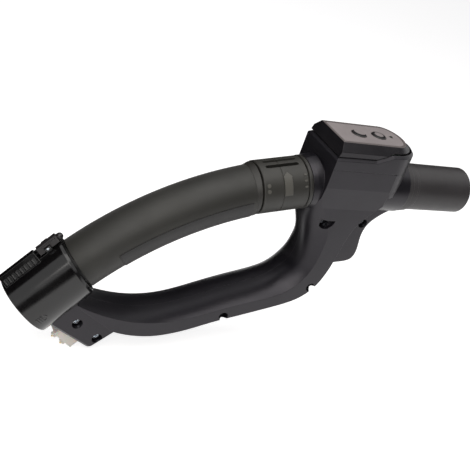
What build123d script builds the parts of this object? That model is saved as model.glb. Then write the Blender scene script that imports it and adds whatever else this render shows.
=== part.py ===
from build123d import *
import os
from math import cos, degrees, hypot, radians, sin, tan

# A powered hose handle for a central vacuum: a curved air tube to hold, a guard
# loop below it, a control pod at the hose end and a wand collar at the other end.
# The origin is the centre of the hose tube's open end. +X runs out of that end,
# +Z is up and Y = 0 is the plane the two housing shells meet on. Millimetres.

os.makedirs("parts", exist_ok=True)

# ---------------------------------------------------------------- sizes
RUN = 0.08               # radial running fit of a turning part
FIT = 0.05               # gap between parts that are fixed to each other

TUBE_R = 20.0            # hose tube, outside
TUBE_BORE_R = 17.5
SPIGOT_LEN = 58.0        # stretch that the hose's cuff slides on
JOURNAL_R = TUBE_R + 0.3 # stretch that turns in the housing
TUBE_IN_X = -112.0       # hidden inner end of the hose tube
FLANGE_R = TUBE_R + 1.2  # the flange that keeps the hose tube in the housing
FLANGE_LEN = 4.0
COLLAR_RING_X = (-70.0, -65.0, -60.0)
COLLAR_RING_R = (TUBE_R + 1.7, TUBE_R + 1.1)

RING_ANGLE = 11.5        # slope of the suction ring's axis
BEND_X = -150.0          # where that axis meets the hose tube's axis
BEND_RUN = 8.7           # length of each leg of the bend in the duct
NECK_RUN = 14.9          # from the retainer's end to the bend's corner
COLLAR_ANGLE = 49.0      # slope of the wand collar's axis
GRIP_ARC_R = 287.6       # bend radius of the grip's centre line
GRIP_ANGLES = (15.35, 45.32)        # its slope at the ring and at the collar
GRIP_DROP = 1.5          # how far below the ring's axis it starts
COLLAR_LIFT = 1.75       # how far above its end the collar's axis lies
DUCT_LAP = 3.0           # straight ends of the pipe that reach into the curved part

PIPE_R = 18.0            # air pipe inside grip, ring and housing
PIPE_BORE_R = 15.8
GRIP_R = 20.6            # soft sleeve
INLAY_RISE = 0.5
BEAD_R = (21.3, 20.7)    # at the ring and at the sleeve
BEAD_ARC = 0.85          # degrees of the grip's arc that the end bead takes
RING_R = 21.6
RING_LEN = 39.4
RING_GAP = 0.5
MARK_RISE = 0.4
GROOVE = (17.3, 17.9)    # fine line round the ring
SLOT_LEN = 29.0
SLOT_W = 3.2
SLOT_ANGLES = (94.0, 76.0)
RING_TRAVEL = 60.0       # degrees the ring turns from closed to open
RETAINER_R = 21.9
RETAINER_LEN = 3.4
RING_FROM_BEND = 2 * RING_GAP + RING_LEN + RETAINER_LEN + NECK_RUN

WAND_R = 16.2            # bore that takes the wand
WAND_FIT_LEN = 30.0      # stretch of the bore that holds the wand
WAND_RELIEF = 0.4
SOCKET_R = 18.6
SOCKET_LIP = 0.8
COLLAR_R = 26.3
COLLAR_LEN = 51.0
SHOULDER_TILT = 8.0      # lean of the collar's rear face
SHOULDER_GAP = 1.6

HALF_W = 22.8            # half width of the guard below the pod
POD_HALF_W = HALF_W + 2.2
FLARE_Z = (-14.0, 6.0)   # where the side walls widen from one to the other
HALF_W_END = 18.4        # half width where the loop reaches the collar
FRONT_X = -158.0         # flat front face of the pod
LOOP_END_X = -334.0
BELLY_R = TUBE_R + 2.4
SEAM_Z = BELLY_R + 0.1   # top of the lower shells
NOSE_X = -97.0           # where the pod starts to round off
NOSE_TIP_X = -73.2
CROWN_POWER = 2.6        # how late the loop's crowned faces fall away

CAP_TOP_Z = 44.5
CAP_WALL_Z = 38.0
CAP_INSET = 1.2
CAP_TOP_HALF_W = 18.4
CAP_TOP_X = (-153.4, -83.5)
DECK = 3.3
WALL = 2.6
BAND_BEVEL = 2.2
CAP_LINE = ((-170.0, 32.7), (-119.0, 33.2), (-104.0, 38.8), (-60.0, 40.4))

CAP_GAP = 1.1            # shadow line between the band and the cap
SKIRT_Z = 29.5
LABEL_DEPTH = 0.8
BOARD_TOP = 34.1
BOARD_X = (-148.0, -88.0)
BOARD_POSTS = (-143.0, -90.5)
SWITCH_TOP = 38.0
PRONGS = (5.5, -5.5)
MOUTH_STEP = 6.0

BUTTON_R = 6.3
BUTTON_X = (-127.5, -107.5)
BUTTON_RISE = 0.7
BUTTON_TRAVEL = 1.0
LED_X = -94.5
LED_R = 1.5

BRACKET_HALF_W = 14.5
BRACKET_BEVEL = 2.0
BRACKET = ((-350.1, -137.7), (-313.6, -161.2), (-294.6, -144.6), (-331.0, -118.4))
BRACKET_SCREWS = ((-329.4, -135.3), (-309.6, -150.5))

# The guard loop, seen from the side. Each row is one station, from the pod down
# and round to the collar: inner edge at the side face, inner face on the middle
# plane, outer edge at the side face. The rows and the bracket are drawn for one place
# of the collar's lower rear edge, and follow it when it moves.
DRAWN_FOR = (-317.52, -104.02)
STATIONS = (
    ((-158.0, -6.0), (-158.0, -24.0), (-93.0, -9.0)),
    ((-150.7, -15.6), (-155.2, -33.0), (-98.3, -14.3)),
    ((-142.9, -25.5), (-151.2, -42.5), (-105.9, -22.2)),
    ((-136.5, -38.0), (-147.9, -52.0), (-112.4, -33.0)),
    ((-135.1, -52.0), (-146.2, -62.0), (-116.0, -46.0)),
    ((-136.0, -64.0), (-146.6, -70.5), (-118.0, -60.0)),
    ((-138.3, -76.0), (-149.2, -79.0), (-120.5, -74.0)),
    ((-143.5, -86.4), (-154.8, -85.9), (-126.5, -90.5)),
    ((-153.0, -96.7), (-164.0, -94.1), (-138.0, -103.4)),
    ((-167.6, -104.0), (-177.3, -100.4), (-155.0, -111.4)),
    ((-185.0, -109.2), (-192.5, -105.6), (-175.0, -118.0)),
    ((-202.9, -114.7), (-208.0, -111.0), (-196.0, -124.6)),
    ((-219.0, -120.2), (-222.5, -116.6), (-214.0, -130.3)),
    ((-235.8, -125.9), (-238.5, -122.2), (-231.0, -136.7)),
    ((-253.0, -130.0), (-254.5, -126.4), (-249.5, -142.3)),
    ((-270.4, -131.3), (-271.0, -128.4), (-268.0, -144.9)),
    ((-286.0, -130.2), (-286.0, -128.0), (-282.0, -144.2)),
    ((-302.0, -126.9), (-302.0, -125.0), (-296.0, -141.4)),
    ((-318.0, -121.9), (-318.0, -120.0), (-310.0, -136.0)),
    ((LOOP_END_X, -114.6), (LOOP_END_X, -112.6), (-322.0, -130.5)),
)
OUTER_CROWN = 3.0
CHANNEL = 0.27           # share of the bar's depth left as wall on each side

NECK = ((0.2, 21.6), (4.2, 22.2), (10.2, 22.5))    # past the retainer, radius
LUG_HALF_W = 11.0
LUG = ((-70.0, -18.6), (-75.4, -21.6), (-82.6, -27.2), (-88.4, -34.0), (-90.9, -43.5),
       (-89.9, -53.5), (-88.9, -63.0), (-91.2, -70.2), (-97.5, -73.3), (-103.0, -74.2))
INLAY_HALF_ANGLE = 93.0
INLAY_ARC = (1.55, 23.75) # degrees of the grip's arc, back from the ring

RAIL = ((-7.4, -1.5), (-1.7, 6.7), (1.7, 6.7), (7.4, -1.5))    # height above the collar
RAIL_END = -16.2
LEVER_FROM, LEVER_TO = -13.3, 4.0
LEVER_FLOOR = COLLAR_R + 2.1
PIN_AT = (-6.0, COLLAR_R + 3.3)     # along and across the wand collar's axis
PIN_R = 1.0
TOOTH_TIP = WAND_R - 0.9

PLUG_AT = -COLLAR_R - 23.2       # across the collar's axis
PLUG_W, PLUG_H = 14.0, 21.5
PLUG_FROM, PLUG_TO = -52.0, -36.0

HOUSING_SCREWS = ((-142.0, -30.5), (-206.0, -124.6), (-131.5, -93.2))
LUG_SCREW = (-95.2, -33.6)
HEAD_R = 3.0
HEAD_DEPTH = 11.0        # screw seats below the face they go in from
LUG_HEAD_DEPTH = 6.0
BRACKET_HEAD_DEPTH = 6.4
SHANK_R = 1.5
SHANK_END = 8.0

# ---------------------------------------------------------------- frames
ring_a, collar_a = radians(RING_ANGLE), radians(COLLAR_ANGLE)
SEAM = Vector(BEND_X - RING_FROM_BEND * cos(ring_a), 0, -RING_FROM_BEND * sin(ring_a))


def down(angle, distance):
    """A step square to an axis that slopes by the angle, on its lower side."""
    a = radians(angle)
    return Vector(sin(a), 0, -cos(a)) * distance


ARC_START = SEAM + down(RING_ANGLE, GRIP_DROP)
ARC_C = ARC_START + down(GRIP_ANGLES[0], GRIP_ARC_R)
SHOULDER = ARC_C - down(GRIP_ANGLES[1], GRIP_ARC_R) - down(COLLAR_ANGLE, COLLAR_LIFT)
GRIP_SWEEP = GRIP_ANGLES[1] - GRIP_ANGLES[0]
GRIP_AXIS = Axis(ARC_C, (0, -1, 0))


def axis_plane(origin, angle):
    """Plane across an axis in the XZ plane: x is world Y, y is up, z runs along it."""
    a = radians(angle)
    return Plane(origin=origin, x_dir=(0, 1, 0), z_dir=(cos(a), 0, sin(a)))


ring = axis_plane(SEAM, RING_ANGLE)
grip = axis_plane(ARC_START, GRIP_ANGLES[0])
wand = axis_plane(SHOULDER, COLLAR_ANGLE)
shoulder = axis_plane(SHOULDER, COLLAR_ANGLE - SHOULDER_TILT)
tube = axis_plane(Vector(0, 0, 0), 0)
side = Plane.XZ          # its normal is -Y, so what is extruded grows to the near side


underside = SHOULDER - wand.y_dir * COLLAR_R
moved = (underside.X - DRAWN_FOR[0], underside.Z - DRAWN_FOR[1])


def follow(point, share=None):
    """Side view point that moves with the collar: not at the pod, wholly at the loop's end."""
    if share is None:
        share = min(1.0, max(0.0, (point[0] - FRONT_X) / (LOOP_END_X - FRONT_X)))
    return tuple(p + m * share for p, m in zip(point, moved))


stations = [[follow(point) for point in row] for row in STATIONS]
bracket_outline = [follow(point, 1) for point in BRACKET]
loop_end_x = LOOP_END_X + moved[0]


def rod(frame, r, a, b):
    return extrude(frame.offset(a) * Circle(r), b - a)


def pipe(frame, r_out, r_in, a, b):
    return extrude(frame.offset(a) * (Circle(r_out) - Circle(r_in)), b - a)


def grip_turn(sketch, start, end):
    """Sweep a section round the grip's arc, in degrees from its start at the ring."""
    section = (grip * sketch).rotate(GRIP_AXIS, start)
    return revolve(section, axis=GRIP_AXIS, revolution_arc=end - start)


def slab(points, half_width):
    """Side view outline made into a slab about the middle plane."""
    return extrude(side * make_face(Polyline(*points, close=True)), half_width, both=True)


def beyond(frame, distance):
    """Everything further along the frame's axis than the distance."""
    return extrude(frame.offset(distance) * Rectangle(400, 400), 400)


def save(solid, name, label=None):
    solid.label = label or name
    export_step(solid, f"parts/{name}.step")


# ---------------------------------------------------------------- air path
bend_r = BEND_RUN / tan(ring_a / 2)
bend_start = RING_FROM_BEND - BEND_RUN
bend_c = (SEAM + Vector(cos(ring_a), 0, sin(ring_a)) * bend_start
          + Vector(sin(ring_a), 0, -cos(ring_a)) * bend_r)
BEND_AXIS = Axis(bend_c, (0, 1, 0))


def bend(sketch):
    return revolve(ring.offset(bend_start) * sketch, axis=BEND_AXIS,
                   revolution_arc=RING_ANGLE)


hose_tube = rod(tube, TUBE_R, TUBE_IN_X, 0) + rod(tube, JOURNAL_R, TUBE_IN_X, -SPIGOT_LEN)
hose_tube += rod(tube, FLANGE_R, TUBE_IN_X, TUBE_IN_X + FLANGE_LEN)
hose_tube -= rod(tube, TUBE_BORE_R, TUBE_IN_X - 1, 1)
hose_tube = chamfer(hose_tube.faces().sort_by(Axis.X)[-1].edges().sort_by(SortBy.RADIUS)[0], 1.0)
save(hose_tube, "hose_tube")

x0, x1, x2 = COLLAR_RING_X
tube_collar = pipe(tube, COLLAR_RING_R[0], JOURNAL_R + RUN, x0 + FIT, x1)
tube_collar += pipe(tube, COLLAR_RING_R[1], JOURNAL_R + RUN, x1, x2)
steps = tube_collar.edges().filter_by(GeomType.CIRCLE).filter_by(
    lambda e: e.radius > TUBE_R + 1 and e.center().X > x1 - 0.1)
tube_collar = chamfer([e for e in steps if e.radius > COLLAR_RING_R[1] + 0.1
                       or e.center().X > x2 - 0.1], 0.5)
save(tube_collar, "tube_collar")

duct_ring = Circle(PIPE_R) - Circle(PIPE_BORE_R)
air_duct = bend(duct_ring)
air_duct += pipe(tube, PIPE_R, PIPE_BORE_R, BEND_X + BEND_RUN, TUBE_IN_X - 0.3)
save(air_duct, "air_duct")

slot_at = RING_GAP + 5.4


def radial(angle, along):
    """Plane that faces outwards from the ring's axis: x runs along the axis."""
    a = radians(angle)
    out = Vector(0, -cos(a), 0) + Vector(-sin(ring_a), 0, cos(ring_a)) * sin(a)
    run = Vector(cos(ring_a), 0, sin(ring_a))
    return Plane(origin=SEAM + run * along, x_dir=run, z_dir=out)


def ring_slots(turn):
    cuts = Part()
    for angle in SLOT_ANGLES:
        shape = radial(angle - turn, slot_at + SLOT_LEN / 2) * SlotOverall(SLOT_LEN, SLOT_W)
        cuts += extrude(shape, RING_R + 2)
    return cuts


def curved(r, margin=0.0):
    """The curved stretch between the ring's seam and the collar, as a solid bar."""
    bar = grip_turn(Circle(r), -0.5, GRIP_SWEEP + 0.5)
    return (bar & beyond(wand, -margin)) - beyond(ring, margin)


def straight_ends(r, lap, beyond_ring, into_collar):
    return rod(ring, r, -lap, beyond_ring) + rod(wand, r, -into_collar, lap)


grip_tube = curved(PIPE_R) + straight_ends(PIPE_R, DUCT_LAP, bend_start - FIT, 4)
grip_tube -= curved(PIPE_BORE_R) + straight_ends(PIPE_BORE_R, 1, bend_start + 1, 5)
grip_tube -= ring_slots(-RING_TRAVEL)
save(grip_tube, "grip_tube")

# ---------------------------------------------------------------- grip
pipe_room = curved(PIPE_R + FIT, FIT) + straight_ends(PIPE_R + FIT, DUCT_LAP + FIT, 2, 5)
bead_end = (grip * Circle(BEAD_R[1])).rotate(GRIP_AXIS, BEAD_ARC)
bead = loft([ring.offset(-RING_GAP) * Circle(BEAD_R[0]), bead_end], ruled=True)
bead = chamfer(bead.faces().sort_by(Axis(SEAM, ring.z_dir))[-1].edges(), 0.8) - pipe_room
save(bead, "grip_end_bead")

sleeve_start = BEAD_ARC + degrees(FIT / GRIP_ARC_R)
inlay_floor = GRIP_R - 1.2


def lower_sector(r_in, r_out, half_angle):
    """Part of a ring section, centred on its underside."""
    rays = [(40 * sin(radians(a)), -40 * cos(radians(a)))
            for a in (-half_angle, -half_angle / 2, 0, half_angle / 2, half_angle)]
    return (Circle(r_out) - Circle(r_in)) & make_face(Polyline((0, 0), *rays, close=True))


sleeve = grip_turn(Circle(GRIP_R), sleeve_start, GRIP_SWEEP + 1)
sleeve = (sleeve & beyond(shoulder, SHOULDER_GAP)) - pipe_room
sleeve -= grip_turn(lower_sector(inlay_floor, GRIP_R + 1, INLAY_HALF_ANGLE + 0.3),
                    INLAY_ARC[0] - 0.02, INLAY_ARC[1] + 0.02)
save(sleeve, "grip_sleeve")

inlay = grip_turn(lower_sector(inlay_floor + FIT, GRIP_R + INLAY_RISE, INLAY_HALF_ANGLE),
                  *INLAY_ARC)
save(inlay, "grip_inlay")

# ---------------------------------------------------------------- suction ring
ring_end = RING_GAP + RING_LEN
suction_ring = pipe(ring, RING_R, PIPE_R + RUN, RING_GAP, ring_end)
outer_rims = suction_ring.edges().filter_by(GeomType.CIRCLE)
suction_ring = chamfer(outer_rims.filter_by(lambda e: e.radius > PIPE_R + 1), 0.6)
suction_ring -= pipe(ring, RING_R + 1, RING_R - 0.4, *GROOVE)
suction_ring -= ring_slots(0)


def mark(shape, angle, along):
    block = extrude(radial(angle, along) * shape, RING_R + MARK_RISE)
    return block & pipe(ring, RING_R + MARK_RISE, RING_R - 0.3, RING_GAP, ring_end)


suction_ring += mark(Rectangle(7.0, 14.5), 26, 21.5)
suction_ring += mark(make_face(Polyline((-4.4, -2.2), (4.4, -2.2), (0, 2.6), close=True)), 51, 21.5)
for angle in (32.0, 20.0):
    suction_ring += mark(Circle(1.6), angle, 4.4)
for angle in (47.0, 34.0, 21.0):
    suction_ring += mark(Rectangle(2.4, 1.5), angle, 37.0)
save(suction_ring, "suction_ring")

ret0 = ring_end + RING_GAP
ret1 = ret0 + RETAINER_LEN
retainer = pipe(ring, RETAINER_R, PIPE_R + FIT, ret0, ret1)
retainer = chamfer(retainer.edges().filter_by(GeomType.CIRCLE)
                   .filter_by(lambda e: e.radius > PIPE_R + 1), 0.7)
save(retainer, "ring_retainer")

# ---------------------------------------------------------------- housing shells
def half_width(x):
    share = (x - FRONT_X) / (loop_end_x - FRONT_X)
    return HALF_W + (HALF_W_END - HALF_W) * max(0.0, share)


def loop_section(y):
    """Side outline of the guard at one distance from the middle plane."""
    inner, outer = [], []
    for edge, middle, back in stations:
        fall = (y / half_width(edge[0])) ** CROWN_POWER
        inner.append(tuple(m + (e - m) * fall for e, m in zip(edge, middle)))
        dx, dz = back[0] - edge[0], back[1] - edge[1]
        reach = OUTER_CROWN * (1 - fall) / hypot(dx, dz)
        outer.append((back[0] + dx * reach, back[1] + dz * reach))
    top = [outer[0], (outer[0][0], SEAM_Z), (FRONT_X, SEAM_Z), inner[0]]
    edges = [Spline(*inner), Line(inner[-1], outer[-1]), Spline(*outer[::-1])]
    edges += [Line(a, b) for a, b in zip(top, top[1:])]
    return Plane.XZ.offset(y) * make_face(edges)


def pod_plan(half, front, tip):
    """The pod seen from above: square at the front, round at the hose end."""
    box = Pos((front + NOSE_X) / 2, 0) * Rectangle(NOSE_X - front, 2 * half)
    return box + Pos(NOSE_X, 0) * Ellipse(tip - NOSE_X, half)


def pod(inset, z0, z1):
    plan = pod_plan(POD_HALF_W - inset, FRONT_X + inset, NOSE_TIP_X - inset)
    return extrude(Plane.XY.offset(z0) * plan, z1 - z0)


levels = [0, 0.27, 0.45, 0.61, 0.74, 0.84, 0.93, 1.02]
guard = loft([loop_section(POD_HALF_W * k) for k in levels])
taper = make_face(Polyline((-80, 0), (-80, -POD_HALF_W), (FRONT_X, -POD_HALF_W), (FRONT_X, -HALF_W),
                           (loop_end_x - 5, -HALF_W_END), (loop_end_x - 5, 0), close=True))
guard = guard & extrude(Plane.XY.offset(-200) * taper, 260)
end_view = make_face(Polyline((0, -200), (-HALF_W, -200), (-HALF_W, FLARE_Z[0]),
                              (-POD_HALF_W, FLARE_Z[1]), (-POD_HALF_W, 60), (0, 60), close=True))
flare = extrude(Plane.YZ.offset(-400) * end_view, 400)
guard = guard & flare

near = extrude(Plane.XY.offset(-200) * Pos(-200, -50) * Rectangle(500, 100), 300)
shell = guard + (pod(0, 0, SEAM_Z) & near & flare)
shell += rod(tube, BELLY_R, -150, COLLAR_RING_X[0]) & near
lug = make_face([Spline(*LUG), Polyline(LUG[-1], (-122, -77), (-122, LUG[0][1]), LUG[0])])
lug = extrude(side * lug, LUG_HALF_W)
lug = fillet(lug.faces().sort_by(Axis.Y)[0].edges().filter_by(lambda e: e.center().X > -112), 1.2)
shell += lug
neck = loft([ring.offset(ret1 + s) * Circle(r) for s, r in NECK], ruled=True)
shell += neck & near

for bore in (rod(ring, PIPE_R + FIT, ret1 - 5, bend_start),
             bend(Circle(PIPE_R + FIT)),
             rod(tube, PIPE_R + FIT, BEND_X + BEND_RUN, TUBE_IN_X),
             rod(tube, JOURNAL_R + RUN, TUBE_IN_X - 0.2, 0),
             rod(tube, FLANGE_R + RUN, TUBE_IN_X - 0.2, TUBE_IN_X + FLANGE_LEN + 0.15),
             rod(wand, COLLAR_R + FIT, -COLLAR_LEN - 5, 12)):
    shell -= bore

inner_wall = [tuple(e + (o - e) * CHANNEL for e, o in zip(edge, back))
              for edge, _, back in stations[3:]]
outer_wall = [tuple(o - (o - e) * CHANNEL for e, o in zip(edge, back))
              for edge, _, back in stations[3:]]
channel = make_face([Spline(*inner_wall), Line(inner_wall[-1], outer_wall[-1]),
                     Spline(*outer_wall[::-1]), Line(outer_wall[0], inner_wall[0])])
shell -= extrude(side * channel, HALF_W_END - WALL)

(dx, dz), (cx, cz) = bracket_outline[3], bracket_outline[2]
back_len = hypot(cx - dx, cz - dz)
bu = ((cx - dx) / back_len, (cz - dz) / back_len)
bn = (bu[1], -bu[0])


def shift(point, along=0.0, out=0.0):
    """Move a side view point along the bracket's back line, or away from the loop."""
    return tuple(p + u * along + n * out for p, u, n in zip(point, bu, bn))


b0, b1, b2, b3 = bracket_outline
shell -= slab([shift(b3, -14), shift(b2, 12), shift(b2, 12, 60), shift(b3, -14, 60)], 40)


def across(x, z, r, y0, y1):
    """A round bar or hole along Y, from the larger Y to the smaller."""
    return extrude(Plane.XZ.offset(-y0) * Pos(x, z) * Circle(r), y0 - y1)


def screw(x, z, seat, end):
    """A cross head screw that goes in from the near side."""
    top = seat - 2.2
    body = across(x, z, HEAD_R, seat - FIT, top) + across(x, z, SHANK_R, end, seat - FIT)
    cross = Pos(x, z) * (Rectangle(3.6, 0.9) + Rectangle(0.9, 3.6))
    return body - extrude(Plane.XZ.offset(-top - 1.1) * cross, 1.1)


near_shell, far_shell = shell, mirror(shell, Plane.XZ)
screws = []
places = [follow(place) for place in HOUSING_SCREWS]
places = [(p, half_width(p[0]), HEAD_DEPTH) for p in places] + [(LUG_SCREW, LUG_HALF_W, LUG_HEAD_DEPTH)]
for (x, z), _, _ in places[1:3]:
    near_shell += guard & across(x, z, HEAD_R + 2.6, 0, -HALF_W_END)
for (x, z), face, depth in places:
    seat = depth - face
    near_shell -= across(x, z, HEAD_R + 1.2, seat, -HALF_W - 1)
    near_shell -= across(x, z, SHANK_R + FIT, 0, seat)
    far_shell -= across(x, z, SHANK_R + FIT, SHANK_END, 0)
    screws.append(screw(x, z, seat, SHANK_END - 0.3))
x, z = places[0][0]
recess = Pos(x, z + 5) * Circle(7.8) & Pos(x, z - 3) * Rectangle(20, 16)
near_shell -= extrude(side.offset(HALF_W - 3.5) * recess, 6)
save(near_shell, "housing_near_shell")
save(far_shell, "housing_far_shell")
save(Compound(children=screws), "housing_screws")

# ---------------------------------------------------------------- control pod
step = [(x, z) for x, z in CAP_LINE]
above_step = slab(step + [(step[-1][0], 80), (step[0][0], 80)], 60)
below_cap = slab([(x, z + CAP_GAP) for x, z in step] + [(step[-1][0], 0), (step[0][0], 0)], 60)

band = (pod(0, SEAM_Z + FIT, 44) - above_step) - pod(WALL, SEAM_Z, 44)
band = chamfer(band.edges().filter_by(lambda e: e.center().Z > 32 and abs(e.center().Y) > POD_HALF_W - 0.2
                                      or e.center().Z > 32 and e.center().X < FRONT_X + 0.2), BAND_BEVEL)
save(band, "pod_band")

top_plan = pod_plan(CAP_TOP_HALF_W, *CAP_TOP_X)
cap_plan = pod_plan(POD_HALF_W - CAP_INSET, FRONT_X + CAP_INSET, NOSE_TIP_X - CAP_INSET)
cap = pod(CAP_INSET, 32, CAP_WALL_Z)
cap += loft([Plane.XY.offset(CAP_WALL_Z) * cap_plan, Plane.XY.offset(CAP_TOP_Z) * top_plan],
            ruled=True)
foot_of_slope = (FRONT_X + CAP_INSET, CAP_LINE[0][1] + CAP_GAP)
cap -= slab([foot_of_slope, (CAP_TOP_X[0], CAP_TOP_Z), (CAP_TOP_X[0], 80), (FRONT_X - 9, 80),
             (FRONT_X - 9, foot_of_slope[1])], 60)
cap -= below_cap
cap += pod(WALL + FIT, SKIRT_Z, 36)
cap -= pod(2 * WALL, SKIRT_Z, CAP_WALL_Z)
cap -= pod(3 * WALL, CAP_WALL_Z, CAP_TOP_Z - DECK)
label_floor = CAP_TOP_Z - LABEL_DEPTH
label_plan = pod_plan(CAP_TOP_HALF_W - 2.2, CAP_TOP_X[0] + 2.2, CAP_TOP_X[1] - 2.2)
cap -= extrude(Plane.XY.offset(label_floor) * label_plan, 2)
for x in BUTTON_X:
    cap -= Pos(x, 0, 0) * rod(Plane.XY, BUTTON_R + RUN, 40, 50)
cap -= Pos(LED_X, 0, 0) * rod(Plane.XY, LED_R + FIT, 30, 50)
for x in BOARD_POSTS:
    cap += Pos(x, 0, 0) * rod(Plane.XY, 2.5, BOARD_TOP + FIT, CAP_TOP_Z - DECK)
save(cap, "control_cap")

inset_plan = pod_plan(CAP_TOP_HALF_W - 2.2 - FIT, CAP_TOP_X[0] + 2.2 + FIT,
                      CAP_TOP_X[1] - 2.2 - FIT)
label = extrude(Plane.XY.offset(label_floor + FIT) * inset_plan, LABEL_DEPTH - 0.25)
for x, r in ((BUTTON_X[0], BUTTON_R + 0.5), (BUTTON_X[1], BUTTON_R + 0.5), (LED_X, LED_R + 0.3)):
    label -= Pos(x, 0, 0) * rod(Plane.XY, r, 40, 50)
save(label, "keypad_label")

deck_z = CAP_TOP_Z - DECK
button_top = CAP_TOP_Z + BUTTON_RISE
for x, name in zip(BUTTON_X, ("power_button", "brush_button")):
    button = rod(Plane.XY, BUTTON_R, deck_z - 1.1, button_top)
    button = fillet(button.edges().sort_by(Axis.Z)[-1], 0.9)
    button += rod(Plane.XY, BUTTON_R + 0.9, deck_z - 1.1, deck_z - FIT)
    button += rod(Plane.XY, 2.0, SWITCH_TOP + BUTTON_TRAVEL + 0.15, deck_z - 1.1)
    save(Pos(x, 0, 0) * button, name)

led = rod(Plane.XY, LED_R, BOARD_TOP + FIT, CAP_TOP_Z + 0.4)
save(Pos(LED_X, 0, 0) * fillet(led.edges().sort_by(Axis.Z)[-1], 0.8), "status_led")

board = Pos((BOARD_X[0] + BOARD_X[1]) / 2, 0, BOARD_TOP - 0.8) * Box(BOARD_X[1] - BOARD_X[0], 26, 1.6)
save(board, "control_board")
switches = []
for x in BUTTON_X:
    body = Pos(x, 0, (BOARD_TOP + FIT + SWITCH_TOP - 0.6) / 2) * Box(6, 6, SWITCH_TOP - 0.6 - BOARD_TOP - FIT)
    switches.append(body + Pos(x, 0, 0) * rod(Plane.XY, 1.6, SWITCH_TOP - 0.6, SWITCH_TOP))
save(Compound(children=switches), "button_switches")

# ---------------------------------------------------------------- wand collar
collar = rod(wand, COLLAR_R, -COLLAR_LEN, 10) - beyond(shoulder, 0)
rear = collar.faces().sort_by(Axis(SHOULDER, wand.z_dir))[-1]
collar = chamfer(rear.edges(), 2.0)
mouth = collar.faces().sort_by(Axis(SHOULDER, wand.z_dir))[0]
collar = fillet(mouth.edges(), 0.8)
collar -= rod(wand, SOCKET_R + FIT, -COLLAR_LEN - 1, -4)
collar -= rod(wand, PIPE_R + FIT, -5, 12) + curved(PIPE_R + FIT, FIT)
collar -= rod(wand, COLLAR_R - WALL, -COLLAR_LEN - 1, -COLLAR_LEN + MOUTH_STEP)
tooth_slot = extrude(wand.offset(LEVER_FROM - 2.7) * Pos(0, COLLAR_R - 5.7) * Rectangle(4.9, 20), 7.3)
collar -= tooth_slot

lip = -COLLAR_LEN + 1
socket = pipe(wand, SOCKET_R, WAND_R, lip, -4 - FIT)
socket -= rod(wand, WAND_R + WAND_RELIEF, lip + SOCKET_LIP + WAND_FIT_LEN, 0)
socket = chamfer(socket.edges().filter_by(GeomType.CIRCLE).filter_by(lambda e: e.radius < WAND_R + 0.1)
                 .sort_by(Axis(SHOULDER, wand.z_dir))[0], SOCKET_LIP)
save(socket - tooth_slot, "wand_socket")


def badge(shape, angle, along):
    """A raised mark on the outside of the wand collar."""
    a = radians(angle)
    out = Vector(0, -cos(a), 0) + wand.y_dir * sin(a)
    face = Plane(origin=SHOULDER + wand.z_dir * along, x_dir=wand.z_dir, z_dir=out)
    block = extrude(face * shape, COLLAR_R + MARK_RISE)
    return block & pipe(wand, COLLAR_R + MARK_RISE, COLLAR_R - 0.4, -COLLAR_LEN + 1, -1)


arch = (Circle(3.4) - Circle(2.5)) & Pos(2, 0) * Rectangle(4, 8)
collar += badge(arch, -6, -41.5)
for along in (-42.3, -44.2, -46.1):
    collar += badge(Rectangle(0.9, 6.6), -6, along)
save(collar, "wand_collar")

# ---------------------------------------------------------------- wand latch
profile = make_face(Polyline(*[(x, COLLAR_R + rise) for x, rise in RAIL], close=True))
seat_tube = rod(wand, COLLAR_R + FIT, -COLLAR_LEN - 1, 12)
rail = extrude(wand.offset(-COLLAR_LEN + 2.5) * profile, RAIL_END + COLLAR_LEN - 2.5)
for k in range(8):
    for hand in (-1, 1):
        window = Pos(hand * 5.2, COLLAR_R + 2.3) * Rot(0, 0, -hand * 52) * Rectangle(4.4, 2.4)
        rail -= extrude(wand.offset(-46.5 + 3.7 * k) * window, 2.2)
for hand in (-1, 1):
    ear = extrude(wand.offset(PIN_AT[0] - 2.6) * Pos(hand * 4.3, COLLAR_R + 1.6) * Rectangle(1.8, 6.4), 5.2)
    rail += ear


def pin(r, half):
    x, _, z = SHOULDER + wand.z_dir * PIN_AT[0] + wand.y_dir * PIN_AT[1]
    return across(x, z, r, half, -half)


rail -= pin(PIN_R + FIT, 8)
foot = extrude(wand.offset(RAIL_END - 0.1) * Pos(0, COLLAR_R - 0.5)
               * (Rectangle(10.4, 2.4) - Rectangle(4.9, 5)), 12.9 + PIN_AT[0] + 6)
rail += foot
rail -= seat_tube
save(rail, "latch_rail")

lever = extrude(wand.offset(LEVER_FROM) * profile, LEVER_TO - LEVER_FROM)
lever = lever & extrude(wand.offset(-20) * Pos(0, LEVER_FLOOR + 5) * Rectangle(30, 10), 40)
for hand in (-1, 1):
    lever -= extrude(wand.offset(PIN_AT[0] - 3.0) * Pos(hand * 5.6, PIN_AT[1]) * Rectangle(5.0, 9), 6.0)
for k in range(10):
    groove = wand.offset(LEVER_FROM + 2 + 1.5 * k) * Pos(0, COLLAR_R + 5.5) * Rectangle(8, 0.7)
    lever -= extrude(groove, 0.7)
lever += extrude(wand.offset(-12.6) * Pos(0, (LEVER_FLOOR + TOOTH_TIP) / 2)
                 * Rectangle(4.0, LEVER_FLOOR - TOOTH_TIP + 0.2), 3.0)
knob = SHOULDER + wand.z_dir * 5.8 + wand.y_dir * (COLLAR_R + 2.5)
lever += Pos(*knob) * Sphere(2.8)
lever += extrude(wand.offset(LEVER_TO - 0.1) * Pos(0, COLLAR_R + 3.5) * Rectangle(3.6, 2.6), 2.4)
lever -= pin(PIN_R + RUN, 8)
save(lever, "latch_lever")
save(pin(PIN_R, 5.1), "latch_pin")

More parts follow.
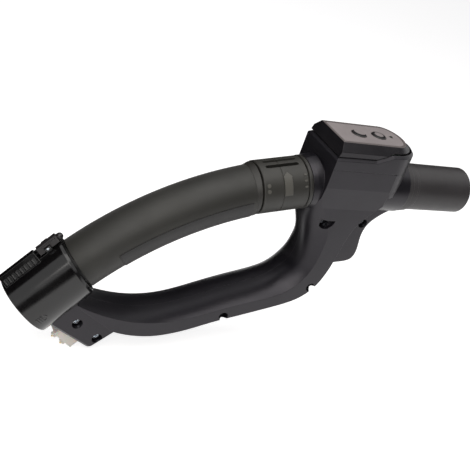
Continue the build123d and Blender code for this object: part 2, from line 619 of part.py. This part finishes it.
# ---------------------------------------------------------------- wand connector
corners = [shift(b0, -6), b1, shift(b2, 0, FIT), shift(b3, -6, FIT)]
bracket = slab(corners, BRACKET_HALF_W)
low = bracket.edges().filter_by(Axis.Y).sort_by(Axis.Z)[0]
bracket = fillet(low, 4.5)
outside = Axis(SHOULDER, wand.z_dir)
front_edges = bracket.faces().sort_by(Axis.Y)[0].edges()
bracket = chamfer(front_edges.sort_by(outside)[0], BRACKET_BEVEL)
bracket -= rod(wand, COLLAR_R + FIT, -COLLAR_LEN - 5, 12)


def block(w, h, a, b, across_at=PLUG_AT):
    return extrude(wand.offset(a) * Pos(0, across_at) * Rectangle(w, h), b - a)


bracket -= block(PLUG_W + 2 * FIT, PLUG_H + 2 * FIT, PLUG_FROM - 8, PLUG_TO + FIT)
plug = block(PLUG_W, PLUG_H, PLUG_FROM, PLUG_TO)
plug = chamfer(plug.edges().filter_by(Axis(SHOULDER, wand.z_dir)), 1.2)
pins = []
for drop in PRONGS:
    prong = Plane(SHOULDER + wand.y_dir * (PLUG_AT + drop), wand.x_dir, wand.z_dir)
    plug += rod(prong, 2.6, PLUG_FROM - 3.5, PLUG_FROM + 1)
    plug -= rod(prong, 0.9 + FIT, PLUG_FROM - 9, PLUG_FROM + 8)
    pins.append(rod(prong, 0.9, PLUG_FROM - 5, PLUG_FROM + 7.9))
save(plug, "connector_plug")
save(Compound(children=pins), "connector_pins")

bracket_screws = []
for x, z in [follow(place, 1) for place in BRACKET_SCREWS]:
    seat = -BRACKET_HALF_W + BRACKET_HEAD_DEPTH
    bracket -= across(x, z, HEAD_R + 1.4, seat, -BRACKET_HALF_W - 1)
    bracket -= across(x, z, SHANK_R + FIT, 7, seat)
    bracket_screws.append(screw(x, z, seat, 6.5))
save(bracket, "connector_housing")
save(Compound(children=bracket_screws), "bracket_screws")
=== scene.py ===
# %% [markdown]
# # A powered hose handle for a central vacuum
# The real handle is a stack of moulded plastics: two satin housing shells, a
# soft grip over an air pipe, a turning ring, a glossy wand collar, a keypad and
# a few small metal parts. The engineering model already fixes every size and
# place. This lesson dresses it: each node gets the finish of the real part, and
# the marks that are too fine for the engineering model, such as the dark marks on
# the keys and parting lines, are drawn by the materials in real millimetres.

# %% Load the frame
from math import cos, radians, sin

import bmesh
import bpy
from mathutils import Matrix, Vector


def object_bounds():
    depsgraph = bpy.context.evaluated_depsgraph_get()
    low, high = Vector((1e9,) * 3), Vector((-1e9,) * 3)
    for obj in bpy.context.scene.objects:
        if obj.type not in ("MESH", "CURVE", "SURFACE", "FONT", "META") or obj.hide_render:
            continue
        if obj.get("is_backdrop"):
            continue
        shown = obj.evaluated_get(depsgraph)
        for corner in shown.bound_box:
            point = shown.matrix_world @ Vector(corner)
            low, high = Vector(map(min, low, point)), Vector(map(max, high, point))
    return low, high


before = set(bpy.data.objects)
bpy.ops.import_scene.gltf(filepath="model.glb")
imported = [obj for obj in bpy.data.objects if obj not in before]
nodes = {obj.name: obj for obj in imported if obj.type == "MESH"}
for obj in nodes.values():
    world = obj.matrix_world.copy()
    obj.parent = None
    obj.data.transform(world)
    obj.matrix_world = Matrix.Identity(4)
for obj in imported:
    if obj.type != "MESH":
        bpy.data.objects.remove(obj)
cad_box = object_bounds()
print("nodes:", len(nodes))
print("box in mm:", [[round(v * 1000, 1) for v in corner] for corner in cad_box])

# %% [markdown]
# ## The camera
# The handle hangs a little askew in the view: its hose end points away to the
# right and the whole frame leans by about twenty degrees. A look-at constraint
# can't give that lean, so the camera's three axes are worked out from a
# heading, a height angle and a roll, and written into its matrix.

# %% Camera
HEADING, HEIGHT, LEAN = radians(-34.07), radians(27.98), radians(19.74)
CAMERA_PLACE = Vector((-0.5712, -0.5371, 0.2873))
LENS = 68.94
towards = Vector((sin(HEADING) * cos(HEIGHT), -cos(HEADING) * cos(HEIGHT), sin(HEIGHT)))
level = Vector((cos(HEADING), sin(HEADING), 0))
upright = towards.cross(level)
right = level * cos(LEAN) + upright * sin(LEAN)
up = upright * cos(LEAN) - level * sin(LEAN)

lens_data = bpy.data.cameras.new("camera")
lens_data.lens = LENS
lens_data.sensor_width = 36
lens_data.clip_start = 0.01
camera = bpy.data.objects.new("camera", lens_data)
camera.matrix_world = Matrix.LocRotScale(
    CAMERA_PLACE,
    Matrix((right, up, towards)).transposed().to_quaternion(), None)
bpy.context.collection.objects.link(camera)
bpy.context.scene.camera = camera
print("camera looks along", [round(v, 3) for v in -towards])

# %% [markdown]
# ## The studio
# Near-black plastic shows its shape by what it mirrors, far more than by its
# own colour. So the studio is a pale floor, one broad softbox overhead and a
# smaller one over the camera. The floor and the room are white only where the
# camera or a mirror-like surface looks at them, so they don't add light to the
# handle. Studios also set up black cards beside black goods, which put dark
# bands between the highlights. The cards here are seen in reflections only.

# %% Floor and room
def add(tree, kind, inputs=(), **settings):
    """Add one shader node, set its options, then its plain values or its links."""
    node = tree.nodes.new(kind)
    for key, value in settings.items():
        setattr(node, key, value)
    for key, value in dict(inputs).items():
        if isinstance(value, bpy.types.NodeSocket):
            tree.links.new(value, node.inputs[key])
        else:
            node.inputs[key].default_value = value
    return node


def seen_directly(tree):
    """1 where the camera, a mirror reflection or clear plastic looks at the surface."""
    path = add(tree, "ShaderNodeLightPath")
    either = add(tree, "ShaderNodeMath", {0: path.outputs["Is Camera Ray"],
                                          1: path.outputs["Is Glossy Ray"]}, operation="MAXIMUM")
    return add(tree, "ShaderNodeMath", {0: either.outputs[0],
                                        1: path.outputs["Is Transmission Ray"]},
               operation="MAXIMUM").outputs[0]


FLOOR_Z = cad_box[0][2]
FLOOR_GLOW = 0.78       # brings the pale floor up to white where it is looked at directly
FLOOR_HALF_SIZE = 6.0

floor_paint = bpy.data.materials.new("pale_floor")
floor_paint.use_nodes = True
tree = floor_paint.node_tree
tree.nodes.clear()
matt = add(tree, "ShaderNodeBsdfDiffuse", {"Color": (0.8, 0.8, 0.8, 1)})
glow_level = add(tree, "ShaderNodeMath", {0: seen_directly(tree), 1: FLOOR_GLOW},
                 operation="MULTIPLY")
glow = add(tree, "ShaderNodeEmission", {"Color": (1, 1, 1, 1), "Strength": glow_level.outputs[0]})
both = add(tree, "ShaderNodeAddShader", {0: matt.outputs[0], 1: glow.outputs[0]})
add(tree, "ShaderNodeOutputMaterial", {"Surface": both.outputs[0]})

bm = bmesh.new()
bmesh.ops.create_grid(bm, x_segments=2, y_segments=2, size=FLOOR_HALF_SIZE,
                      matrix=Matrix.Translation((-0.2, 0, FLOOR_Z - 0.0005)))
floor_mesh = bpy.data.meshes.new("floor")
bm.to_mesh(floor_mesh)
bm.free()
floor_mesh.materials.append(floor_paint)
floor = bpy.data.objects.new("floor", floor_mesh)
bpy.context.collection.objects.link(floor)
floor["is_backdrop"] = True

room = bpy.data.worlds.new("room")
room.use_nodes = True
tree = room.node_tree
tree.nodes.clear()
dim = add(tree, "ShaderNodeBackground", {"Color": (0.90, 0.88, 0.94, 1), "Strength": 0.15})
white = add(tree, "ShaderNodeBackground", {"Color": (1, 1, 1, 1), "Strength": 1.0})
mixed = add(tree, "ShaderNodeMixShader", {0: seen_directly(tree), 1: dim.outputs[0],
                                          2: white.outputs[0]})
add(tree, "ShaderNodeOutputWorld", {"Surface": mixed.outputs[0]})
bpy.context.scene.world = room
bpy.context.scene.view_settings.view_transform = "Standard"
print("floor lies at z", round(FLOOR_Z, 4))


# %% Black cards
card_paint = bpy.data.materials.new("black_card")
card_paint.use_nodes = True
tree = card_paint.node_tree
tree.nodes.clear()
velvet = add(tree, "ShaderNodeBsdfDiffuse", {"Color": (0.02, 0.02, 0.02, 1)})
add(tree, "ShaderNodeOutputMaterial", {"Surface": velvet.outputs[0]})


def black_card(name, corner, along, rise):
    """A flat card from one corner and two edges, seen by reflections only."""
    bm = bmesh.new()
    bmesh.ops.create_grid(bm, x_segments=1, y_segments=1, size=0.5,
                          matrix=Matrix.Translation((0.5, 0.5, 0)))
    for v in bm.verts:
        v.co = Vector(corner) + Vector(along) * v.co.x + Vector(rise) * v.co.y
    mesh = bpy.data.meshes.new(name)
    bm.to_mesh(mesh)
    bm.free()
    mesh.materials.append(card_paint)
    card = bpy.data.objects.new(name, mesh)
    card.visible_camera = card.visible_diffuse = card.visible_shadow = False
    card.visible_transmission = False
    bpy.context.collection.objects.link(card)
    card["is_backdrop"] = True


black_card("card_back", (-2.4, 1.3, FLOOR_Z), (5.0, 0, 0), (0, 0.3, 1.9))
black_card("card_left", (-1.9, -0.1, FLOOR_Z), (-0.2, 1.6, 0), (0, 0, 2.0))
black_card("card_front_low", (-1.4, -0.9, FLOOR_Z), (3.4, 0, 0), (0, -0.1, 0.36))
black_card("card_front_high", (-0.30, -1.0, 0.1), (2.4, 0.4, 0), (0, 0.1, 1.0))
black_card("card_floor", (-0.95, 0.09, FLOOR_Z + 0.001), (0.85, 0, 0), (0, 0.8, 0))


# %% Lamps
def softbox(name, place, aim, size, watts, tint):
    lamp = bpy.data.lights.new(name, "AREA")
    lamp.shape = "RECTANGLE"
    lamp.size, lamp.size_y = size
    lamp.energy = watts
    lamp.color = tint
    holder = bpy.data.objects.new(name, lamp)
    holder.location = place
    holder.rotation_euler = (Vector(aim) - Vector(place)).to_track_quat("-Z", "Y").to_euler()
    bpy.context.collection.objects.link(holder)
    return holder


HANDLE_MIDDLE = (-0.2, 0, -0.05)
softbox("overhead", (-0.40, -0.40, 1.10), (-0.40, -0.399, 0), (1.8, 1.3), 13.8, (1.0, 0.98, 0.95))
softbox("over_camera", (-0.80, -0.82, 0.55), HANDLE_MIDDLE, (0.8, 0.55), 4.0, (1.0, 0.97, 0.93))

# %% [markdown]
# ## Moulded plastic
# Housing plastic comes out of a mould whose steel was etched, so it carries a
# fine grain that spreads every highlight. Hands polish the edges first, which
# makes them a little lighter and smoother. A noise texture on object
# coordinates gives the grain at its true size. Comparing a rounded normal with
# the real one finds the edges on any mesh, without painting masks by hand.

# %% Finish helpers
def new_finish(name, **plain):
    """A Principled material whose plain values sit on the shader's own sockets."""
    material = bpy.data.materials.new(name)
    material.use_nodes = True
    tree = material.node_tree
    shader = tree.nodes["Principled BSDF"]
    for key, value in plain.items():
        shader.inputs[key.replace("_", " ")].default_value = value
    place = add(tree, "ShaderNodeTexCoord").outputs["Object"]
    return material, tree, shader, place


def noise(tree, place, size, detail=2.0, rough=0.5, stretch=None):
    """Noise whose lumps are about that many metres across."""
    if stretch:
        place = add(tree, "ShaderNodeMapping", {"Vector": place, "Scale": stretch}).outputs[0]
    return add(tree, "ShaderNodeTexNoise", {"Vector": place, "Scale": 1 / size, "Detail": detail,
                                            "Roughness": rough}).outputs["Fac"]


def between(tree, factor, low, high, start=0.0, end=1.0):
    """Turn a factor into a value that runs from low to high."""
    return add(tree, "ShaderNodeMapRange", {"Value": factor, "From Min": start, "From Max": end,
                                            "To Min": low, "To Max": high}).outputs[0]


def blend_colours(tree, factor, first, second):
    mix = add(tree, "ShaderNodeMix", data_type="RGBA")
    for socket, value in ((mix.inputs[0], factor), (mix.inputs[6], first), (mix.inputs[7], second)):
        if isinstance(value, bpy.types.NodeSocket):
            tree.links.new(value, socket)
        else:
            socket.default_value = value
    return mix.outputs[2]


def rounded_edges(tree, radius):
    """A normal that runs smoothly over sharp edges, and how near an edge is."""
    soft = add(tree, "ShaderNodeBevel", {"Radius": radius}, samples=6).outputs[0]
    true = add(tree, "ShaderNodeNewGeometry").outputs["Normal"]
    match = add(tree, "ShaderNodeVectorMath", {0: soft, 1: true}, operation="DOT_PRODUCT")
    return soft, between(tree, match.outputs["Value"], 1.0, 0.0, 0.82, 0.995)


def moulded(name, colour, shade, edge, rough, grain=0.00045, depth=0.00002, radius=0.0005,
            edge_rough=-0.08, mark=None, mark_colour=None, **plain):
    """A moulded finish. A mark is a function that gives 1 where a second colour shows."""
    plain = {"Specular_IOR_Level": 0.4, **plain}
    material, tree, shader, place = new_finish(name, **plain)
    soft, near_edge = rounded_edges(tree, radius)
    patches = between(tree, noise(tree, place, 0.03, 4.0, 0.6), 0.0, 1.0, 0.35, 0.68)
    speckle = between(tree, noise(tree, place, grain * 2.2, 3.0, 0.7), -0.5, 0.5, 0.3, 0.7)
    tone = add(tree, "ShaderNodeMath", {0: speckle, 1: 0.45, 2: patches}, operation="MULTIPLY_ADD")
    body = blend_colours(tree, tone.outputs[0], (*shade, 1), (*colour, 1))
    if mark:
        body = blend_colours(tree, mark(tree, place), body, (*mark_colour, 1))
    rubbed = add(tree, "ShaderNodeMath",
                 {0: near_edge,
                  1: between(tree, noise(tree, place, 0.008, 3.0), 0.25, 1.0, 0.3, 0.7)},
                 operation="MULTIPLY").outputs[0]
    tree.links.new(blend_colours(tree, rubbed, body, (*edge, 1)), shader.inputs["Base Color"])
    handled = between(tree, noise(tree, place, 0.018, 5.0, 0.62), rough - 0.045, rough + 0.045,
                      0.3, 0.7)
    smooth = add(tree, "ShaderNodeMath", {0: rubbed, 1: edge_rough, 2: handled},
                 operation="MULTIPLY_ADD")
    tree.links.new(smooth.outputs[0], shader.inputs["Roughness"])
    bumps = add(tree, "ShaderNodeBump", {"Strength": 1.0, "Distance": depth, "Normal": soft,
                                         "Height": noise(tree, place, grain, 2.0, 0.6)})
    tree.links.new(bumps.outputs[0], shader.inputs["Normal"])
    return material


def both_of(tree, first, second):
    return add(tree, "ShaderNodeMath", {0: first, 1: second}, operation="MULTIPLY").outputs[0]


def height_of(tree, place):
    return add(tree, "ShaderNodeSeparateXYZ", {"Vector": place}).outputs["Z"]


def disc(tree, place, x, y, radius):
    """1 inside a circle seen from above, 0 outside it."""
    flat = add(tree, "ShaderNodeVectorMath", {0: place, 1: (1, 1, 0)}, operation="MULTIPLY")
    reach = add(tree, "ShaderNodeVectorMath", {0: flat.outputs[0], 1: (x, y, 0)},
                operation="DISTANCE").outputs["Value"]
    return between(tree, reach, 1.0, 0.0, radius - 0.00012, radius + 0.00012)


def outside(tree, mask):
    return add(tree, "ShaderNodeMath", {0: 1.0, 1: mask}, operation="SUBTRACT").outputs[0]


dressed = []


def dress(material, *names):
    """Give one finish to whole nodes, in place of whatever they came with."""
    for name in names:
        dressed.append(name)
        mesh = nodes[name].data
        mesh.materials.clear()
        mesh.materials.append(material)
        mesh.polygons.foreach_set("material_index", [0] * len(mesh.polygons))


# %% Housing, pod and bracket
PARTING_Z = 0.02252                       # where the pod's band sits on the shells
# Heights where the painted highlight on the cap's rim starts and is full.
RIM_HIGHLIGHT_START_Z, RIM_HIGHLIGHT_FULL_Z = 0.04430, 0.04440   # the pale border starts and is full


def parting_line(tree, place):
    """A hairline where the pod's band meets the shells."""
    away = add(tree, "ShaderNodeMath", {0: height_of(tree, place), 1: PARTING_Z},
               operation="SUBTRACT")
    size = add(tree, "ShaderNodeMath", {0: away.outputs[0]}, operation="ABSOLUTE")
    return between(tree, size.outputs[0], 1.0, 0.0, 0.00012, 0.0003)


def painted_rim_highlight(tree, place):
    """A painted highlight: the cap's rim round the keypad turns pale above a set height."""
    return between(tree, height_of(tree, place), 0.0, 1.0, RIM_HIGHLIGHT_START_Z, RIM_HIGHLIGHT_FULL_Z)


satin_black = moulded("satin_black_housing", (0.0080, 0.0074, 0.0098), (0.0058, 0.0053, 0.0072),
                      (0.024, 0.022, 0.026), 0.36, mark=parting_line,
                      mark_colour=(0.002, 0.002, 0.002), Specular_Tint=(0.97, 0.93, 1.0, 1))
dress(satin_black, "housing_near_shell", "housing_far_shell", "pod_band", "connector_housing")
# The pale colour on the cap's rim is a painted highlight.
cap_black = moulded("satin_black_cap", (0.0072, 0.0066, 0.0080), (0.0052, 0.0048, 0.0059),
                    (0.040, 0.037, 0.040), 0.33, mark=painted_rim_highlight, mark_colour=(0.17, 0.15, 0.148),
                    Specular_Tint=(0.97, 0.93, 1.0, 1))
dress(cap_black, "control_cap")
print("satin black on:", dressed)

# %% [markdown]
# ## Glossy and soft plastics
# The collar is the same kind of plastic from a polished mould, so its grain is
# almost gone. The grip is a soft rubber moulded over the pipe: no clear
# highlight, a slightly warm grey and a very fine matt skin. The suction ring
# and the hose tube lie between the two.

# %% Collar, ring, grip and tube
gloss_black = moulded("gloss_black_collar", (0.0045, 0.0042, 0.0045), (0.0034, 0.0031, 0.0034),
                      (0.018, 0.016, 0.018), 0.15, grain=0.0012, depth=0.000004, radius=0.0006,
                      edge_rough=0.02, Specular_IOR_Level=0.5)
dress(gloss_black, "wand_collar", "latch_rail")

RING_SLOPE = radians(11.5)
RING_AXIS = (cos(RING_SLOPE), 0, sin(RING_SLOPE))
SEAM = (-0.2075, 0, -0.0117)      # a point on the ring's axis
RING_SKIN = 0.0216                # its outside radius, without the raised marks


def raised_marks(tree, place):
    """1 on what stands proud of the ring: its arrow, dots and ticks."""
    offset = add(tree, "ShaderNodeVectorMath", {0: place, 1: SEAM}, operation="SUBTRACT").outputs[0]
    along = add(tree, "ShaderNodeVectorMath", {0: offset, 1: RING_AXIS}, operation="DOT_PRODUCT")
    axial = add(tree, "ShaderNodeVectorMath", {0: RING_AXIS, "Scale": along.outputs["Value"]},
                operation="SCALE").outputs[0]
    across = add(tree, "ShaderNodeVectorMath", {0: offset, 1: axial}, operation="SUBTRACT")
    reach = add(tree, "ShaderNodeVectorMath", {0: across.outputs[0]}, operation="LENGTH")
    return between(tree, reach.outputs["Value"], 0.0, 1.0,
                   RING_SKIN + 0.00012, RING_SKIN + 0.00025)


warm_ring = moulded("warm_grey_ring", (0.032, 0.031, 0.027), (0.026, 0.025, 0.022),
                     (0.060, 0.058, 0.050), 0.50, grain=0.0004, depth=0.000012,
                     mark=raised_marks, mark_colour=(0.085, 0.082, 0.072))
dress(warm_ring, "suction_ring")
plain_ring = moulded("warm_grey_end_rings", (0.026, 0.025, 0.022), (0.021, 0.020, 0.018),
                     (0.048, 0.046, 0.040), 0.46, grain=0.0004, depth=0.000012)
dress(plain_ring, "ring_retainer", "grip_end_bead")

soft_grip = moulded("soft_touch_grip", (0.0205, 0.0199, 0.0170), (0.0166, 0.0162, 0.0139),
                    (0.048, 0.046, 0.040), 0.52, grain=0.0003, depth=0.000018, edge_rough=-0.03,
                    Sheen_Weight=0.12, Sheen_Roughness=0.5)
dress(soft_grip, "grip_sleeve")
soft_inlay = moulded("soft_touch_inlay", (0.0140, 0.0134, 0.0137), (0.0108, 0.0105, 0.0108),
                     (0.026, 0.025, 0.025), 0.54, grain=0.0006, depth=0.00004, edge_rough=-0.03,
                     Sheen_Weight=0.1, Sheen_Roughness=0.5)
dress(soft_inlay, "grip_inlay")

tube_grey = moulded("hose_tube_grey", (0.036, 0.033, 0.0345), (0.029, 0.0266, 0.028),
                    (0.056, 0.052, 0.054), 0.48, grain=0.0005, depth=0.00001)
dress(tube_grey, "hose_tube", "tube_collar")
inner_black = moulded("inner_black", (0.012, 0.012, 0.012), (0.008, 0.008, 0.008),
                      (0.02, 0.02, 0.02), 0.5)
dress(inner_black, "grip_tube", "air_duct", "wand_socket")
lever_black = moulded("lever_black", (0.020, 0.018, 0.019), (0.014, 0.013, 0.014),
                      (0.060, 0.056, 0.057), 0.33, grain=0.0006, depth=0.00001)
dress(lever_black, "latch_lever")
print("nodes dressed so far:", len(dressed))

# %% [markdown]
# ## Keypad, metal and nylon
# The keypad is a printed film with a fine sparkle grain. The screws are zinc
# plated steel, the plug is unfilled nylon, which lets a little light in, and its
# pins are brass. The dark marks on the two keys are discs cut out of discs,
# measured in the plane of the keypad, so they stay sharp at any size and need no picture.

# %% Keypad film, keys and lamp
film = moulded("keypad_film", (0.37, 0.335, 0.335), (0.32, 0.288, 0.29), (0.42, 0.38, 0.375),
               0.38, grain=0.0004, depth=0.00002, radius=0.0003)
dress(film, "keypad_label")
POWER_X, BRUSH_X, KEY_R = -0.1275, -0.1075, 0.0063


def crescent(tree, place):
    """The power key's dark crescent: a disc with a second disc taken out of it."""
    return both_of(tree, disc(tree, place, POWER_X, 0, KEY_R),
                   outside(tree, disc(tree, place, POWER_X + 0.0016, 0.0020, KEY_R - 0.0012)))


def dark_key_ring(tree, place):
    """The brush key's dark ring, a little thicker on two sides."""
    return both_of(tree, disc(tree, place, BRUSH_X, 0, KEY_R),
                   outside(tree, disc(tree, place, BRUSH_X + 0.0004, 0.0006, KEY_R - 0.0024)))


for name, key_mark in (("power_button", crescent), ("brush_button", dark_key_ring)):
    dress(moulded("key_rubber_" + name, (0.34, 0.308, 0.308), (0.295, 0.266, 0.268),
                  (0.38, 0.345, 0.345), 0.42, grain=0.0003, depth=0.00001, radius=0.0004,
                  mark=key_mark, mark_colour=(0.003, 0.003, 0.0035)), name)
lamp_lens = moulded("lamp_lens", (0.02, 0.03, 0.02), (0.015, 0.02, 0.015), (0.05, 0.06, 0.05), 0.12,
                    depth=0.000002)
dress(lamp_lens, "status_led")
print("keypad finishes:", [m.name for m in bpy.data.materials if m.name.startswith("key")])

# %% Steel, nylon, brass and board
plated = moulded("plated_steel", (0.62, 0.66, 0.70), (0.45, 0.50, 0.55), (0.80, 0.82, 0.84), 0.28,
                 grain=0.0003, depth=0.000006, radius=0.0002, Metallic=1.0)
dress(plated, "housing_screws", "bracket_screws", "latch_pin")
nylon = moulded("cream_nylon", (0.94, 0.89, 0.82), (0.91, 0.86, 0.78), (0.96, 0.93, 0.88), 0.36,
                grain=0.0008, depth=0.00001, radius=0.0004, Subsurface_Weight=0.25,
                Subsurface_Scale=0.002)
dress(nylon, "connector_plug")
brass = moulded("brass_pins", (0.78, 0.60, 0.30), (0.66, 0.49, 0.24), (0.86, 0.70, 0.42), 0.3,
                depth=0.000004, Metallic=1.0)
dress(brass, "connector_pins")
board_green = moulded("board_green", (0.03, 0.12, 0.06), (0.02, 0.08, 0.04), (0.10, 0.14, 0.08),
                      0.45)
dress(board_green, "control_board")
switch_black = moulded("switch_black", (0.02, 0.02, 0.02), (0.014, 0.014, 0.014),
                       (0.05, 0.05, 0.05), 0.4)
dress(switch_black, "button_switches")
print("nodes dressed:", len(dressed), "of", len(nodes))

# %% [markdown]
# ## Measure and finish
# The dressed handle has to be exactly as large as the engineering model, since
# a finish adds no material. The two boxes are compared and their largest difference is printed.

# %% Compare the boxes and finish
visual_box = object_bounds()
growth = max(abs(a - b) for old, new in zip(cad_box, visual_box) for a, b in zip(old, new))
print("dressed box differs by", round(growth * 1000, 4), "mm")
